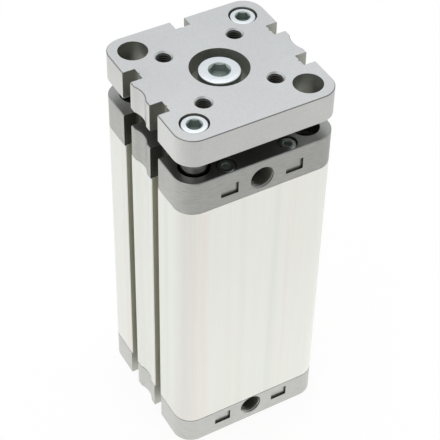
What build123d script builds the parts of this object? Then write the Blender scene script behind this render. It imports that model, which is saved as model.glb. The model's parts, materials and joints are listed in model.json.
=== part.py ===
from build123d import *
import os

# Compact pneumatic cylinder with a guide plate, retracted, standing on its rear cap.
# Millimetres. The origin is the middle of the rear face, +Z points out of the rod end, and the ports face -Y.

# Main sizes
bore = 50.0
stroke = 100.0
side_wall = 7.5
corner_radius = 8.0
rear_cap_thickness = 13.0
front_cap_thickness = 14.5
plate_gap = 8.0
plate_thickness = 12.0
rim_break = 0.3

# Corner holes, set in from both faces
corner_inset = 9.25
corner_channel = 11.0
corner_mouth_depth = 6.5
corner_thread_core = 6.8

# Sensor slots, narrowed by lips along the tube, and the shallow groove between them
slot_offset = 10.4
slot_width = 6.2
slot_depth = 5.0
slot_opening = 4.8
slot_lip = 1.6
slot_edge_break = 0.3
groove_half_width = 4.6
groove_depth = 1.2

# Air ports
front_port_drop = 8.1
rear_port_rise = 7.8
port_core = 8.6
port_mouth = 9.8
port_countersink = 0.6
port_depth = 8.0
air_channel = 3.2
air_channel_shift = 2.4

# Cap screws, four to each cap
cap_screw = 4.0
cap_screw_head = 7.0
cap_screw_head_height = 4.0
cap_screw_socket = 3.0
cap_screw_x = 12.8
cap_screw_inset = 4.5
cap_screw_counterbore = 7.6
cap_screw_sink = 0.5
cap_screw_reach = 10.0

# Form of the socket head screws
screw_point_chamfer = 0.5
head_edge_share = 0.1
socket_depth_share = 0.5

# Spigots and pockets of the caps
spigot_length = 3.5
spigot_wall = 5.0
spigot_clearance = 0.05
ring_groove_depth = 1.5
ring_groove_width = 2.0
ring_corner_share = 0.45
pocket_depth = 2.0
air_groove_width = 1.7
air_groove_depth = 2.0

# Rod bearing and wiper
rod_diameter = 20.0
bush_wall = 1.5
bush_length = 6.5
wiper_wall = 5.0
wiper_lip = 1.2
wiper_relief = 0.8

# Piston, from its rim inwards
rim_gap = 0.5
end_land = 0.7
seal_width = 2.2
inner_land = 0.6
band_width = 2.5
rim_clearance = 0.3
seal_height = 3.5
band_height = 2.85
magnet_height = 5.5
hub_step = 3.0
hub_clearance = 1.0
rod_seat_depth = 3.0
static_ring_height = 1.9
static_ring_width = 1.4

# Elastic stops in the caps
bumper_clearance = 0.1
bumper_wall = 5.0
bumper_outer_gap = 0.3

# Screws along the axis
piston_screw = 8.0
piston_screw_head = 13.0
piston_screw_head_height = 5.0
piston_screw_socket = 5.0
piston_screw_length = 25.0
plate_screw = 10.0
plate_screw_head = 16.0
plate_screw_head_height = 6.0
plate_screw_socket = 7.0
plate_screw_length = 25.0
plate_screw_sink = 1.2
plate_bore = 22.5
plate_rod_seat = 1.0

# Guide rods and what holds them
guide_rod = 10.0
guide_bush_wall = 1.0
guide_plate_seat = 2.0
guide_rod_end_gap = 5.0
guide_rod_chamfer = 0.8
guide_screw = 6.0
guide_screw_head = 10.0
guide_screw_head_height = 6.0
guide_screw_socket = 5.0
guide_screw_length = 16.0
guide_screw_sink = 0.4
guide_screw_counterbore = 11.0
access_hole = 11.4

# Tapped holes in the plate for the load
tapped_core = 5.0
tapped_mouth = 7.0
tapped_circle = 42.0

# Fits
thread_gap = 0.05
head_gap = 0.5
screw_clearance = 0.4
running_fit = 0.05
guide_fit = 0.03
seat_gap = 0.03
socket_turn = -30.0

# Places that follow from the sizes
section = bore + 2 * side_wall
half_section = section / 2
corner = half_section - corner_inset
rim_length = 2 * (end_land + seal_width + inner_land) + band_width
tube_length = stroke + rim_length + 2 * (rim_gap + spigot_length)
tube_bottom = rear_cap_thickness
tube_top = tube_bottom + tube_length
body_top = tube_top + front_cap_thickness
plate_bottom = body_top + plate_gap
plate_top = plate_bottom + plate_thickness
rim_bottom = tube_bottom + spigot_length + rim_gap
rim_top = rim_bottom + rim_length
rim_middle = (rim_bottom + rim_top) / 2
hub_bottom = rim_bottom - hub_step
hub_top = rim_top + hub_step
rod_bottom = hub_top - rod_seat_depth
rod_top = plate_bottom + plate_rod_seat
rear_pocket_floor = tube_bottom - pocket_depth
front_pocket_floor = tube_top + pocket_depth
pocket_radius = bore / 2 - spigot_wall
cap_screw_y = half_section - cap_screw_inset
guide_rod_top = plate_bottom + guide_plate_seat
guide_rod_bottom = tube_bottom + guide_rod_end_gap
front_port_z = body_top - front_port_drop
rear_port_z = rear_port_rise

near_corner = (-corner, -corner)
far_corner = (corner, corner)
left_corner = (-corner, corner)
right_corner = (corner, -corner)
guided_corners = (near_corner, far_corner)
open_corners = (left_corner, right_corner)
all_corners = guided_corners + open_corners
cap_screw_places = [(x, y) for x in (-cap_screw_x, cap_screw_x) for y in (-cap_screw_y, cap_screw_y)]
tapped_offset = tapped_circle / 2 / 2**0.5
tapped_places = [(x, y) for x in (-tapped_offset, tapped_offset) for y in (-tapped_offset, tapped_offset)]


def bar(diameter, low, high, place=(0, 0)):
    """Upright round bar from one height to another."""
    return Pos(place[0], place[1], (low + high) / 2) * Cylinder(diameter / 2, high - low)


def ring(outer, inner, low, high, place=(0, 0)):
    """Upright ring from one height to another."""
    return bar(outer, low, high, place) - bar(inner, low, high, place)


def turned(points, place=(0, 0)):
    """Solid turned about the upright axis from (radius, height) points."""
    outline = Plane.XZ * make_face(Polyline(points, close=True))
    return Pos(place[0], place[1], 0) * revolve(outline, Axis.Z)


def plain_slot():
    """Outline of one slot in the face at +X, as the caps and the plate have it."""
    return Pos(half_section - slot_depth / 2, 0) * Rectangle(slot_depth, slot_width)


def lipped_slot():
    """Outline of the same slot with the tube's two lips and their broken edges."""
    half_opening = slot_opening / 2
    edge = half_section - slot_edge_break
    lip_floor = half_section - slot_lip
    chamber_length = slot_depth - slot_lip
    corners = [
        (lip_floor, -half_opening),
        (edge, -half_opening),
        (half_section, -half_opening - slot_edge_break),
        (half_section, half_opening + slot_edge_break),
        (edge, half_opening),
        (lip_floor, half_opening),
    ]
    mouth = make_face(Polyline(corners, close=True))
    return mouth + Pos(lip_floor - chamber_length / 2, 0) * Rectangle(chamber_length, slot_width)


def five_slots(slot):
    """The slot's outline at its two places on both sides and in the middle of the back."""
    sides = [(turn, offset) for turn in (0, 180) for offset in (-slot_offset, slot_offset)]
    return [Rot(0, 0, turn) * Pos(0, offset) * slot for turn, offset in sides + [(90, 0)]]


def grooved_square():
    """Square section with a shallow groove in the middle of both sides."""
    outline = RectangleRounded(section, section, corner_radius)
    groove_radius = (groove_half_width**2 + groove_depth**2) / (2 * groove_depth)
    groove_centre = half_section - groove_depth + groove_radius
    for turn in (0, 180):
        outline -= Rot(0, 0, turn) * Pos(groove_centre, 0) * Circle(groove_radius)
    return outline


def block(low, high):
    """Piece of the section with broken rims and plain slots, from one height to another."""
    piece = Pos(0, 0, low) * extrude(grooved_square(), high - low)
    ends = piece.faces().sort_by(Axis.Z)
    piece = chamfer(ends[0].edges() + ends[-1].edges(), rim_break)
    for slot in five_slots(plain_slot()):
        piece -= Pos(0, 0, low) * extrude(slot, high - low)
    return piece


def air_port(port_z, channel_z):
    """Cut for a threaded port in the -Y face, with the channel that leads on to the pocket's groove."""
    face = Rot(90, 0, 0)
    thread = Pos(0, port_depth / 2 - half_section, port_z) * face * Cylinder(port_core / 2, port_depth)
    sink = Pos(0, port_countersink / 2 - half_section, port_z) * face
    mouth = sink * Cone(port_core / 2, port_mouth / 2, port_countersink)
    start = port_depth - half_section - port_countersink
    end = air_groove_width / 2 - pocket_radius
    length = end - start
    channel = Pos(0, start + length / 2, channel_z) * face * Cylinder(air_channel / 2, length)
    return thread + mouth + channel


def socket_screw(diameter, length, head, head_height, socket):
    """Socket head screw, head up, with the underside of its head at height 0."""
    shank = bar(diameter, -length, 0)
    shank = chamfer(shank.edges().group_by(Axis.Z)[0], screw_point_chamfer)
    top = bar(head, 0, head_height)
    top = chamfer(top.edges().group_by(Axis.Z)[-1], head_height * head_edge_share)
    socket_depth = head_height * socket_depth_share
    hexagon = RegularPolygon(socket / 2, 6, major_radius=False, rotation=socket_turn)
    recess = Pos(0, 0, head_height - socket_depth) * extrude(hexagon, socket_depth)
    return shank + top - recess


def tube_spigot(low, high):
    """Spigot that enters the tube, with a groove for its sealing ring half way along."""
    outer = bore - 2 * spigot_clearance
    middle = (low + high) / 2
    spigot = ring(outer, 2 * pocket_radius, low, high)
    groove_low = middle - ring_groove_width / 2
    groove_high = middle + ring_groove_width / 2
    return spigot - ring(outer, bore - 2 * ring_groove_depth, groove_low, groove_high)


def barrel_tube():
    outline = grooved_square() - Circle(bore / 2)
    for slot in five_slots(lipped_slot()):
        outline -= slot
    for place in all_corners:
        outline -= Pos(*place) * Circle(corner_channel / 2)
    for place in cap_screw_places:
        outline -= Pos(*place) * Circle(cap_screw / 2 + thread_gap)
    return Pos(0, 0, tube_bottom) * extrude(outline, tube_length)


def front_cap():
    cap = block(tube_top, body_top)
    cap += tube_spigot(tube_top - spigot_length, tube_top)
    bush_outer = rod_diameter + 2 * bush_wall
    bush_top = front_pocket_floor + bush_length
    cap -= bar(2 * pocket_radius, tube_top, front_pocket_floor)
    cap -= bar(bush_outer, front_pocket_floor, bush_top)
    cap -= bar(rod_diameter + 2 * wiper_wall, bush_top, body_top)
    groove_inner = 2 * (pocket_radius - air_groove_width)
    cap -= ring(2 * pocket_radius, groove_inner, tube_top, front_pocket_floor + air_groove_depth)
    cap -= air_port(front_port_z, front_port_z - air_channel_shift)
    mouth_floor = body_top - corner_mouth_depth
    for place in guided_corners:
        cap -= bar(guide_rod + 2 * guide_bush_wall, tube_top, body_top, place)
    for place in open_corners:
        cap -= bar(corner_channel, mouth_floor, body_top, place)
        cap -= bar(corner_thread_core, tube_top, mouth_floor, place)
    seat = body_top - cap_screw_sink - cap_screw_head_height
    for place in cap_screw_places:
        cap -= bar(cap_screw_counterbore, seat, body_top, place)
        cap -= bar(cap_screw + screw_clearance, tube_top, seat, place)
    return cap


def rear_cap():
    cap = block(0, tube_bottom)
    cap += tube_spigot(tube_bottom, tube_bottom + spigot_length)
    cap -= bar(2 * pocket_radius, rear_pocket_floor, tube_bottom)
    groove_inner = 2 * (pocket_radius - air_groove_width)
    cap -= ring(2 * pocket_radius, groove_inner, rear_pocket_floor - air_groove_depth, tube_bottom)
    cap -= air_port(rear_port_z, rear_port_z + air_channel_shift)
    for place in all_corners:
        cap -= bar(corner_thread_core, 0, tube_bottom, place)
    seat = cap_screw_sink + cap_screw_head_height
    for place in cap_screw_places:
        cap -= bar(cap_screw_counterbore, 0, seat, place)
        cap -= bar(cap_screw + screw_clearance, seat, tube_bottom, place)
    return cap


def cap_screw_solid(grip):
    """Cap screw that bridges the cap below its head and bites into the tube."""
    return socket_screw(cap_screw, grip + cap_screw_reach, cap_screw_head, cap_screw_head_height, cap_screw_socket)


def front_cap_screws():
    seat = body_top - cap_screw_sink - cap_screw_head_height
    screw = cap_screw_solid(seat - tube_top)
    return Compound(children=[Pos(x, y, seat) * screw for x, y in cap_screw_places])


def rear_cap_screws():
    seat = cap_screw_sink + cap_screw_head_height
    screw = Rot(180, 0, 0) * cap_screw_solid(tube_bottom - seat)
    return Compound(children=[Pos(x, y, seat) * screw for x, y in cap_screw_places])


def tube_ring(spigot_middle):
    """Sealing ring squeezed in a spigot's groove."""
    height = ring_groove_depth - 2 * seat_gap
    width = ring_groove_width - 2 * seat_gap
    centre = bore / 2 - ring_groove_depth / 2
    rounded = RectangleRounded(height, width, height * ring_corner_share)
    outline = Plane.XZ * (Pos(centre, spigot_middle) * rounded)
    return revolve(outline, Axis.Z)


def rod_bush():
    outer = rod_diameter + 2 * (bush_wall - seat_gap)
    inner = rod_diameter + 2 * running_fit
    return ring(outer, inner, front_pocket_floor, front_pocket_floor + bush_length)


def rod_wiper():
    """Wiper with one lip down inside the cap and one that stands out of it."""
    low = front_pocket_floor + bush_length + seat_gap
    outer = rod_diameter / 2 + wiper_wall - seat_gap
    lip = rod_diameter / 2 + running_fit
    relief = lip + wiper_relief
    crown = lip + 2 * wiper_relief
    shoulder = lip + wiper_wall / 2
    points = [
        (lip, low),
        (outer, low),
        (outer, body_top - seat_gap),
        (shoulder, body_top - seat_gap),
        (crown, body_top + wiper_lip),
        (lip, body_top + wiper_lip),
        (relief, body_top),
        (relief, low + wiper_lip),
        (lip, low + wiper_relief),
    ]
    return turned(points)


def bumper(low, high):
    """Elastic ring that takes the piston's hub at the end of the stroke."""
    outer = pocket_radius - air_groove_width - bumper_outer_gap
    return ring(2 * outer, 2 * (outer - bumper_wall), low, high)


def guide_bush(place):
    outer = guide_rod + 2 * (guide_bush_wall - guide_fit)
    inner = guide_rod + 2 * guide_fit
    return ring(outer, inner, tube_top, body_top - corner_mouth_depth, place)


def piston_rod():
    rod = bar(rod_diameter, rod_bottom, rod_top)
    seat = plate_top - plate_screw_sink - plate_screw_head_height
    plate_screw_end = seat - plate_screw_length
    head_seat = hub_bottom + piston_screw_head_height + head_gap
    piston_screw_end = head_seat + piston_screw_length
    rod -= bar(plate_screw + 2 * thread_gap, plate_screw_end - head_gap, rod_top)
    rod -= bar(piston_screw + 2 * thread_gap, rod_bottom, piston_screw_end + head_gap)
    return rod


def seal_groove(low):
    """Groove in the piston's rim for a lip seal."""
    return ring(bore, bore - 2 * seal_height - 2 * seat_gap, low, low + seal_width)


def piston_disc(rim_low, rim_high, hub_low, hub_high, core_low, core_high, groove_low):
    """One half of the piston: rim, hub and the core that carries magnet and guide ring."""
    core = bore - 2 * (band_height + magnet_height + 2 * seat_gap)
    disc = bar(bore - 2 * rim_clearance, rim_low, rim_high)
    disc += bar(2 * (pocket_radius - hub_clearance), hub_low, hub_high)
    disc += bar(core, core_low, core_high)
    return disc - seal_groove(groove_low)


def piston_rear():
    rim_high = rim_bottom + end_land + seal_width + inner_land
    groove_low = rim_bottom + end_land
    disc = piston_disc(rim_bottom, rim_high, hub_bottom, rim_bottom, rim_high, rim_middle, groove_low)
    head_seat = hub_bottom + piston_screw_head_height + head_gap
    disc -= bar(piston_screw_head + 2 * head_gap, hub_bottom, head_seat)
    return disc - bar(piston_screw + screw_clearance, head_seat, rim_middle)


def piston_front():
    rim_low = rim_top - end_land - seal_width - inner_land
    groove_low = rim_top - end_land - seal_width
    disc = piston_disc(rim_low, rim_top, rim_top, hub_top, rim_middle, rim_low, groove_low)
    disc -= bar(rod_diameter + 2 * seat_gap, rod_bottom, hub_top)
    static_outer = piston_screw + screw_clearance + 2 * static_ring_height
    disc -= bar(static_outer, rod_bottom - static_ring_width, rod_bottom)
    return disc - bar(piston_screw + screw_clearance, rim_middle, rod_bottom)


def piston_oring():
    """Ring round the piston screw that seals the rod's seat."""
    inner = piston_screw + screw_clearance
    outer = inner + 2 * (static_ring_height - seat_gap)
    low = rod_bottom - static_ring_width + seat_gap
    return ring(outer, inner + 2 * seat_gap, low, rod_bottom - seat_gap)


def piston_seal(low, pressure_side):
    """Lip seal whose notch opens towards the pressure."""
    outer = bore / 2 - running_fit
    inner = bore / 2 - seal_height
    bottom = low + seat_gap
    top = low + seal_width - seat_gap
    middle = (outer + inner) / 2
    notch = seal_width / 2
    back, front = (bottom, top) if pressure_side > 0 else (top, bottom)
    points = [
        (inner, back),
        (outer - rim_clearance, back),
        (outer, front),
        (middle + notch / 2, front),
        (middle, front - pressure_side * notch),
        (middle - notch / 2, front),
        (inner, front),
    ]
    return turned(points)


def piston_guide_ring():
    outer = bore - 2 * running_fit
    inner = bore - 2 * band_height
    low = rim_middle - band_width / 2 + seat_gap
    return ring(outer, inner, low, rim_middle + band_width / 2 - seat_gap)


def piston_magnet():
    outer = bore - 2 * (band_height + seat_gap)
    inner = outer - 2 * magnet_height
    low = rim_middle - band_width / 2 + seat_gap
    return ring(outer, inner, low, rim_middle + band_width / 2 - seat_gap)


def piston_screw_solid():
    screw = socket_screw(
        piston_screw, piston_screw_length, piston_screw_head, piston_screw_head_height, piston_screw_socket
    )
    return Pos(0, 0, hub_bottom + piston_screw_head_height + head_gap) * Rot(180, 0, 0) * screw


def guide_plate():
    plate = block(plate_bottom, plate_top)
    centre_seat = plate_top - plate_screw_sink - plate_screw_head_height
    plate -= bar(plate_bore, centre_seat, plate_top)
    plate -= bar(plate_screw + screw_clearance, plate_bottom, centre_seat)
    plate -= bar(rod_diameter + 2 * seat_gap, plate_bottom, rod_top)
    guide_seat = plate_top - guide_screw_sink - guide_screw_head_height
    for place in guided_corners:
        plate -= bar(guide_screw_counterbore, guide_seat, plate_top, place)
        plate -= bar(guide_screw + screw_clearance, plate_bottom, guide_seat, place)
        plate -= bar(guide_rod + 2 * seat_gap, plate_bottom, guide_rod_top, place)
    for place in open_corners:
        plate -= bar(access_hole, plate_bottom, plate_top, place)
    sink_depth = (tapped_mouth - tapped_core) / 2
    for place in tapped_places:
        plate -= bar(tapped_core, plate_bottom, plate_top, place)
        sink = Cone(tapped_core / 2, tapped_mouth / 2, sink_depth)
        plate -= Pos(place[0], place[1], plate_top - sink_depth / 2) * sink
    return plate


def plate_centre_screw():
    screw = socket_screw(
        plate_screw, plate_screw_length, plate_screw_head, plate_screw_head_height, plate_screw_socket
    )
    return Pos(0, 0, plate_top - plate_screw_sink - plate_screw_head_height) * screw


def guide_rod_solid(place):
    """Guide rod from its seat in the plate down into the tube's corner channel."""
    rod = bar(guide_rod, guide_rod_bottom, guide_rod_top, place)
    rod = chamfer(rod.edges().group_by(Axis.Z)[0], guide_rod_chamfer)
    seat = plate_top - guide_screw_sink - guide_screw_head_height
    end = seat - guide_screw_length - head_gap
    return rod - bar(guide_screw + 2 * thread_gap, end, guide_rod_top, place)


def guide_rod_screws():
    screw = socket_screw(
        guide_screw, guide_screw_length, guide_screw_head, guide_screw_head_height, guide_screw_socket
    )
    seat = plate_top - guide_screw_sink - guide_screw_head_height
    return Compound(children=[Pos(x, y, seat) * screw for x, y in guided_corners])


rear_bumper_top = hub_bottom - bumper_clearance
front_bumper_bottom = hub_top + stroke + bumper_clearance
front_seal_low = rim_top - end_land - seal_width
nodes = {
    "barrel_tube": barrel_tube(),
    "front_cap": front_cap(),
    "rear_cap": rear_cap(),
    "front_cap_screws": front_cap_screws(),
    "rear_cap_screws": rear_cap_screws(),
    "tube_oring_front": tube_ring(tube_top - spigot_length / 2),
    "tube_oring_rear": tube_ring(tube_bottom + spigot_length / 2),
    "rod_bush": rod_bush(),
    "rod_wiper": rod_wiper(),
    "bumper_front": bumper(front_bumper_bottom, front_pocket_floor),
    "bumper_rear": bumper(rear_pocket_floor, rear_bumper_top),
    "guide_bush_near": guide_bush(near_corner),
    "guide_bush_far": guide_bush(far_corner),
    "piston_rod": piston_rod(),
    "piston_rear": piston_rear(),
    "piston_front": piston_front(),
    "piston_oring": piston_oring(),
    "piston_seal_rear": piston_seal(rim_bottom + end_land, -1),
    "piston_seal_front": piston_seal(front_seal_low, 1),
    "piston_guide_ring": piston_guide_ring(),
    "piston_magnet": piston_magnet(),
    "piston_screw": piston_screw_solid(),
    "guide_plate": guide_plate(),
    "plate_centre_screw": plate_centre_screw(),
    "guide_rod_near": guide_rod_solid(near_corner),
    "guide_rod_far": guide_rod_solid(far_corner),
    "guide_rod_screws": guide_rod_screws(),
}

os.makedirs("parts", exist_ok=True)
for name, solid in nodes.items():
    export_step(solid, f"parts/{name}.step")
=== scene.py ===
"""Finish, lighting and camera of the compact pneumatic cylinder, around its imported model."""

import json
import math

import bmesh
import bpy
from bpy.props import FloatProperty, FloatVectorProperty, IntProperty, PointerProperty
from mathutils import Matrix, Vector


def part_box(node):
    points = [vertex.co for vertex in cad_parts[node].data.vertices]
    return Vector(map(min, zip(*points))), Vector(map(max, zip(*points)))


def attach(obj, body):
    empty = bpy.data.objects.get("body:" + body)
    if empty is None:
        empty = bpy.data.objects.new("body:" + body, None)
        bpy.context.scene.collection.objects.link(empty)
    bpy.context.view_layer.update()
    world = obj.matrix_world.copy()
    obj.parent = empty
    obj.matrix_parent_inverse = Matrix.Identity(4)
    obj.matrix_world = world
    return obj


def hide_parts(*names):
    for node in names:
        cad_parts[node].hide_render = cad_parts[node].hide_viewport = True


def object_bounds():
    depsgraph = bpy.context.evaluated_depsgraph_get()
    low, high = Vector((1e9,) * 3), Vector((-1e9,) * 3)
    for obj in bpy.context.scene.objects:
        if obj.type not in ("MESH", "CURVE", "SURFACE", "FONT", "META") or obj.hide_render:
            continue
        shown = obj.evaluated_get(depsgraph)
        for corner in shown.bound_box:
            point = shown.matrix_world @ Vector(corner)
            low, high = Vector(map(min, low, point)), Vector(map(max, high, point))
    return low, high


bl_info = {
    "name": "Compact cylinder finish",
    "version": (1, 0, 0),
    "blender": (4, 5, 0),
    "location": "3D View > Sidebar > Cylinder",
    "description": "Finishes the pieces of a compact pneumatic cylinder and lights them",
    "category": "Object",
}

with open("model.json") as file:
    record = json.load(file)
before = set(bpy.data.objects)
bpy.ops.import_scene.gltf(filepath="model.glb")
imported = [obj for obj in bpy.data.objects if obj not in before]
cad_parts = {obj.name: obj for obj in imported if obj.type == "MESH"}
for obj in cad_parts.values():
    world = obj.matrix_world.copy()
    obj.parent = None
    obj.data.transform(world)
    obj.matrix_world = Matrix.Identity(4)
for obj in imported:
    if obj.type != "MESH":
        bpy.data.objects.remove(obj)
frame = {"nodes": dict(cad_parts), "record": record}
cad_low, cad_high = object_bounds()
mounts = {mount["name"]: mount for mount in frame["record"]["mounts"]}
slot_mounts = [mount for mount in mounts.values() if mount["kind"] == "slide"]

MM = 0.001
STILL = "cylinder"
MOVING = "rod_assembly"
SMOOTH_ANGLE = math.radians(32)
MERGE_DISTANCE = 1e-6
# Upward share of a face's normal: below the first a face counts as upright, above the second as level
UPRIGHT, LEVEL = 0.3, 0.95
# Cut thread, in shares of its pitch: how far it reaches outwards, and where its crest begins and ends
THREAD_REACH, CREST_START, CREST_END = 0.6, 0.42, 0.58
THREAD_STEPS = 36
# How far a cutter reaches past the face that it cuts through
CUT_PAST = 1 * MM
# Socket of a screw: depth in shares of the head's height, and in shares of the hexagon's corner radius
# the inset, depth and tip of its drilled floor and the two radii and depth of its funnel
SOCKET_DEPTH = 0.55
DRILL_INSET, DRILL_DEPTH, DRILL_TIP = 0.12, 0.35, 0.08
FUNNEL_LOW, FUNNEL_HIGH, FUNNEL_DEPTH = 0.84, 1.06, 0.16


def length(name, description, size_mm):
    """A length property whose default is given in millimetres."""
    return FloatProperty(name=name, description=description, default=size_mm * MM, unit="LENGTH", precision=5)


def number(name, description, value):
    """A property that holds a plain number."""
    return FloatProperty(name=name, description=description, default=value)


def colour(name, description, red, green, blue):
    """A colour property whose default is given as display values from 0 to 255."""
    linear = [to_linear(value / 255) for value in (red, green, blue)]
    return FloatVectorProperty(
        name=name, description=description, subtype="COLOR", size=3, min=0, max=1, default=linear
    )


def to_linear(value):
    """Display value from 0 to 1 as a linear one."""
    return value / 12.92 if value <= 0.04045 else ((value + 0.055) / 1.055) ** 2.4


class CylinderSizes(bpy.types.PropertyGroup):
    """Sizes of the details that are modelled here"""

    port_pitch: length("Port thread pitch", "Pitch of the pipe thread in both air ports", 0.907)
    corner_pitch: length("Corner thread pitch", "Pitch of the threads in the caps' corner holes", 1.25)
    plate_pitch: length("Plate thread pitch", "Pitch of the four threads in the guide plate", 1.0)
    thread_lap: length("Thread lap", "How far a cut thread starts inside the wall of its hole", 0.05)
    cap_screw_head: length("Cap screw head", "Head diameter of the screws that hold the caps", 7.0)
    cap_screw_shank: length("Cap screw shank", "Shank diameter of the screws that hold the caps", 4.0)
    cap_screw_socket: length("Cap screw socket", "Width across flats in the cap screws", 3.0)
    cap_screw_height: length("Cap screw head height", "Head height of the screws that hold the caps", 4.0)
    guide_screw_head: length("Guide screw head", "Head diameter of the screws in the guide rods", 10.0)
    guide_screw_shank: length("Guide screw shank", "Shank diameter of the screws in the guide rods", 6.0)
    guide_screw_socket: length("Guide screw socket", "Width across flats in the guide rods' screws", 5.0)
    guide_screw_height: length("Guide screw head height", "Head height of the guide rods' screws", 6.0)
    centre_screw_shank: length("Centre screw shank", "Shank diameter of the screw in the piston rod", 10.0)
    centre_screw_socket: length("Centre screw socket", "Width across flats in the centre screw", 7.0)
    centre_screw_height: length("Centre screw head height", "Height of the centre screw's low head", 6.0)
    window_width: length("Window width", "Width of the sunken windows beside the air ports", 7.2)
    window_height: length("Window height", "Height of the sunken windows beside the air ports", 5.1)
    window_depth: length("Window depth", "Depth of the sunken windows beside the air ports", 0.9)
    window_offset: length("Window offset", "From the air port's axis to the middle of a window", 13.6)
    slot_floor: length("Slot floor", "Depth of the sensor slots", 5.0)
    slot_width: length("Slot width", "Width of the sensor slots at their floor", 6.2)
    notch_width: length("Notch width", "Width of the pointed notch along a slot's floor", 1.1)
    notch_depth: length("Notch depth", "Depth of the pointed notch along a slot's floor", 0.6)
    # The next sizes place the painted shade: on walls deep in slots and holes, apart from faces near the ends, and on
    # chamfers round the rims
    wall_depth: length("Wall depth", "How deep under the outer faces the walls of slots and holes begin", 1.35)
    mouth_depth: length("Mouth depth", "How deep under the outer faces the walls of a slot's mouth begin", 0.4)
    section_corner: length("Section corner", "Radius of the four upright corners of the square section", 8.0)
    face_skin: length("Face skin", "Faces this near to a piece's two ends keep the finish of its outside", 1.05)
    rim_reach: length("Rim reach", "How far below or above a rim its chamfers reach", 0.8)
    rim_depth: length("Rim depth", "How deep inside the square section the outer rim runs, in the groove", 3.4)
    port_chamfer: length("Port chamfer", "Width of the chamfer in the mouth of an air port", 0.8)
    head_edge: length("Screw head edge", "Radius of the rounded edge on top of a screw head", 0.6)
    rod_edge: length("Rod edge", "Chamfer at the free ends of the rods", 0.6)
    round_steps: IntProperty(
        name="Round steps", description="Flat steps round a turned piece", default=96, min=12, max=256
    )


class CylinderColours(bpy.types.PropertyGroup):
    """Colours of the finishes"""

    tube: colour("Tube", "Pearl anodised aluminium of the tube", 241, 241, 233)
    tube_warm: colour("Tube, warm streaks", "Streaks that drift towards pink", 241, 234, 227)
    tube_cool: colour("Tube, cool streaks", "Streaks that drift towards green grey", 235, 237, 228)
    # Walls in the tube's slots: a darker tone that is painted shade in the slots
    tube_walls: colour("Tube walls", "Extruded skin in the tube's slots", 201, 200, 184)
    cap: colour("Caps", "Matt anodised aluminium of the front cap", 171, 171, 167)
    # Rear cap: the cap's finish made paler, as painted light for the light that the floor throws on it
    cap_rear: colour("Rear cap", "Paler matt anodised aluminium of the rear cap", 190, 190, 186)
    # End face of the front cap: a darker tone that is painted shade under the guide plate
    cap_end: colour("Front cap's end", "Darker end face of the front cap, under the guide plate", 160, 160, 155)
    # Walls in the caps' slots and holes: a darker tone that is painted shade
    cap_walls: colour("Cap walls", "Milled walls in the caps' slots and holes", 98, 98, 89)
    # Slots of the rear cap: a paler tone that is painted light from the floor
    cap_rear_walls: colour("Rear cap's slots", "Paler walls of the slots in the rear cap", 190, 190, 182)
    # Seam chamfers at the rear cap and walls of the sunken windows: a dark tone that is painted shade
    joint: colour("Joints and marks", "Shaded seam at the rear cap and walls of the sunken windows", 66, 66, 62)
    plate: colour("Guide plate", "Satin anodised aluminium of the guide plate", 206, 206, 203)
    # Walls in the plate's slots and holes: a darker tone that is painted shade
    plate_walls: colour("Plate walls", "Milled walls in the plate's slots and holes", 164, 165, 156)
    # Underside of the guide plate: a darker tone that is painted shade in the gap
    plate_under: colour("Plate underside", "Darker underside of the guide plate", 138, 138, 134)
    # Chamfers round the guide plate: a darker tone that is a painted shade line
    plate_rim: colour("Plate rim", "Burnished chamfers round the guide plate", 140, 140, 135)
    # Cut threads: a dark tone that is painted shade in their holes
    thread: colour("Threads", "Oiled metal of the cut threads", 72, 72, 67)
    screw: colour("Screws", "Bright zinc on the screws", 226, 230, 230)
    # Screw sockets: a darker tone that is painted shade in the hexagons and their funnels
    socket: colour("Screw sockets", "Pressed hexagons, where the zinc is thin", 158, 168, 162)
    rod: colour("Piston rod", "Hard chrome on the piston rod", 205, 207, 212)
    guide_rod: colour("Guide rods", "Ground steel of the guide rods", 150, 150, 147)
    bush: colour("Bushes", "Sintered bronze of the bushes", 150, 122, 84)
    piston: colour("Piston", "Bare turned aluminium of the piston", 196, 196, 196)
    seal: colour("Seals", "Black nitrile rubber", 26, 26, 27)
    wiper: colour("Wiper", "Dark polyurethane of wiper and stops", 44, 46, 44)
    guide_ring: colour("Guide band", "Filled plastic of the piston's guide ring", 92, 104, 98)
    magnet: colour("Magnet", "Dark sintered magnet", 62, 62, 66)
    floor: colour("Floor", "Pale floor under the cylinder", 252, 251, 246)
    sky: colour("Sky", "Tint of the light from all round", 247, 250, 255)


class StageSettings(bpy.types.PropertyGroup):
    """Camera and light"""

    azimuth: number("Azimuth", "Camera's turn about the upright axis, degrees", -30.7)
    elevation: number("Elevation", "Camera's height above the horizon, degrees", 43.858)
    roll: number("Roll", "Camera's turn about its own line of sight, degrees", 1.512)
    distance: length("Distance", "From the camera to the point it aims at", 575.04)
    aim_height: length("Aim height", "Height of the point that the camera aims at", 105.0)
    aim_right: length("Aim right", "Sideways move of the camera in its own view", 1.304)
    aim_up: length("Aim up", "Upward move of the camera in its own view", -12.048)
    focal: number("Focal length", "Focal length in widths of the picture", 1477 / 440)
    ambient: number("Ambient light", "Strength of the light from all round", 0.95)
    front: number("Front reflection", "Brightness of what stands behind the camera", 0.35)
    horizon: number("Horizon", "Brightness of the light that comes in level", 0.5)
    softbox: number("Softbox", "Power of the large lamp overhead, watts", 0.9)
    fill: number("Fill", "Power of the low lamp on the left, watts", 0.8)
    front_fill: number("Front fill", "Power of the low lamp on the right, watts", 2.7)


# Helpers for modelling by hand


def pick_only(piece):
    """Selects one piece alone and makes it the active one."""
    bpy.ops.object.select_all(action="DESELECT")
    piece.select_set(True)
    bpy.context.view_layer.objects.active = piece


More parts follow.
